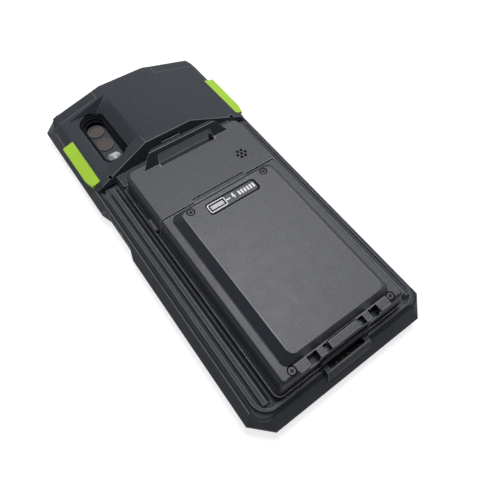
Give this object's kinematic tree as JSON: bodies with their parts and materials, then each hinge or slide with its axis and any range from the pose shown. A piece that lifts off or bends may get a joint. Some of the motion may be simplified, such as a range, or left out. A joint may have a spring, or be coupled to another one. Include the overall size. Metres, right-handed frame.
{
  "type": "barcode scanner sled",
  "caption": "Rugged phone case with a barcode scanner head, side scan triggers and a hinged battery pack on its back.",
  "frame": {"origin": "middle of the case's outline, on the plane that the screen side lies on", "axes": "+Z out of the back, +Y towards the scan window, +X to the right seen from the back"},
  "size_m": [0.088, 0.186, 0.031],
  "materials": {
    "case": "dark matte, slightly soft to the touch",
    "module": "fine moulded grain, satin",
    "head": "very fine grain, satin",
    "dark": "smooth, dark",
    "lime": "satin, coloured in the mould",
    "glass": "polished",
    "screen": "black glass, gloss",
    "lens": "coated optical glass",
    "clear": "frosted",
    "steel": "fine brushed",
    "screw": "plated, satin",
    "spring": "drawn wire",
    "gold": "gold plated",
    "board": "solder mask",
    "chip": "moulded epoxy",
    "grey": "satin",
    "seal": "silicone",
    "cell": "shrink sleeve",
    "flex": "polyimide",
    "led": "clear resin"
  },
  "bodies": {
    "root": {"aimer_lens": "lens", "base_contacts": "gold", "battery_catch": "module", "battery_hinge_pin": "steel", "board_chips": "chip", "camera_lenses": "lens", "camera_ring": "dark", "case_liner": "seal", "case_shell": "case", "charge_contact_block": "dark", "charge_contacts": "gold", "engine_bracket": "steel", "engine_flex": "flex", "engine_lens": "lens", "flash_lens": "clear", "front_bezel": "case", "head_housing": "head", "head_screws": "screw", "illumination_leds": "led", "left_trigger_springs": "spring", "lock_detents": "spring", "main_board": "board", "module_base": "module", "module_screws": "screw", "phone_body": "dark", "phone_screen": "screen", "radio_shield": "steel", "right_trigger_springs": "spring", "scan_bezel": "head", "scan_engine": "dark", "scan_window": "glass", "speaker": "dark", "speaker_mesh": "steel", "trigger_switches": "dark", "upper_housing": "module", "vibration_motor": "steel", "window_gasket": "seal"},
    "volume_key": {"volume_key": "case"},
    "power_key": {"power_key": "case"},
    "left_trigger": {"left_trigger": "lime"},
    "right_trigger": {"right_trigger": "lime"},
    "left_lock": {"left_lock": "grey"},
    "right_lock": {"right_lock": "grey"},
    "battery_pack": {"battery_tray": "module", "battery_cover": "module", "battery_cells": "cell", "battery_board": "board", "battery_contacts": "gold", "charge_window": "clear", "charge_leds": "led", "battery_gasket": "seal", "battery_screws": "screw", "latch_springs": "spring"},
    "battery_latch": {"battery_latch": "module"}
  },
  "joints": [
    {"name": "left_trigger_press", "type": "slide", "parent": "root", "child": "left_trigger", "axis": [1, 0, 0], "range_m": [0, 0.0008], "stiffness_N_per_m": 1500, "deforming": ["left_trigger_springs"]},
    {"name": "right_trigger_press", "type": "slide", "parent": "root", "child": "right_trigger", "axis": [-1, 0, 0], "range_m": [0, 0.0008], "stiffness_N_per_m": 1500, "deforming": ["right_trigger_springs"]},
    {"name": "left_lock_slide", "type": "slide", "parent": "root", "child": "left_lock", "axis": [0, 1, 0], "range_m": [0, 0.008]},
    {"name": "right_lock_slide", "type": "slide", "parent": "root", "child": "right_lock", "axis": [0, 1, 0], "range_m": [0, 0.008]},
    {"name": "battery_hinge", "type": "hinge", "parent": "root", "child": "battery_pack", "pos_m": [0, -0.0049, 0.0247], "axis": [-1, 0, 0], "range_deg": [0, 60], "deforming": ["battery_catch"]},
    {"name": "battery_latch_slide", "type": "slide", "parent": "battery_pack", "child": "battery_latch", "axis": [0, 1, 0], "range_m": [0, 0.0015], "stiffness_N_per_m": 400, "deforming": ["latch_springs"]},
    {"name": "volume_key_press", "type": "slide", "parent": "root", "child": "volume_key", "axis": [1, 0, 0], "range_m": [0, 0.0003], "stiffness_N_per_m": 2000},
    {"name": "power_key_press", "type": "slide", "parent": "root", "child": "power_key", "axis": [1, 0, 0], "range_m": [0, 0.0003], "stiffness_N_per_m": 2000}
  ]
}
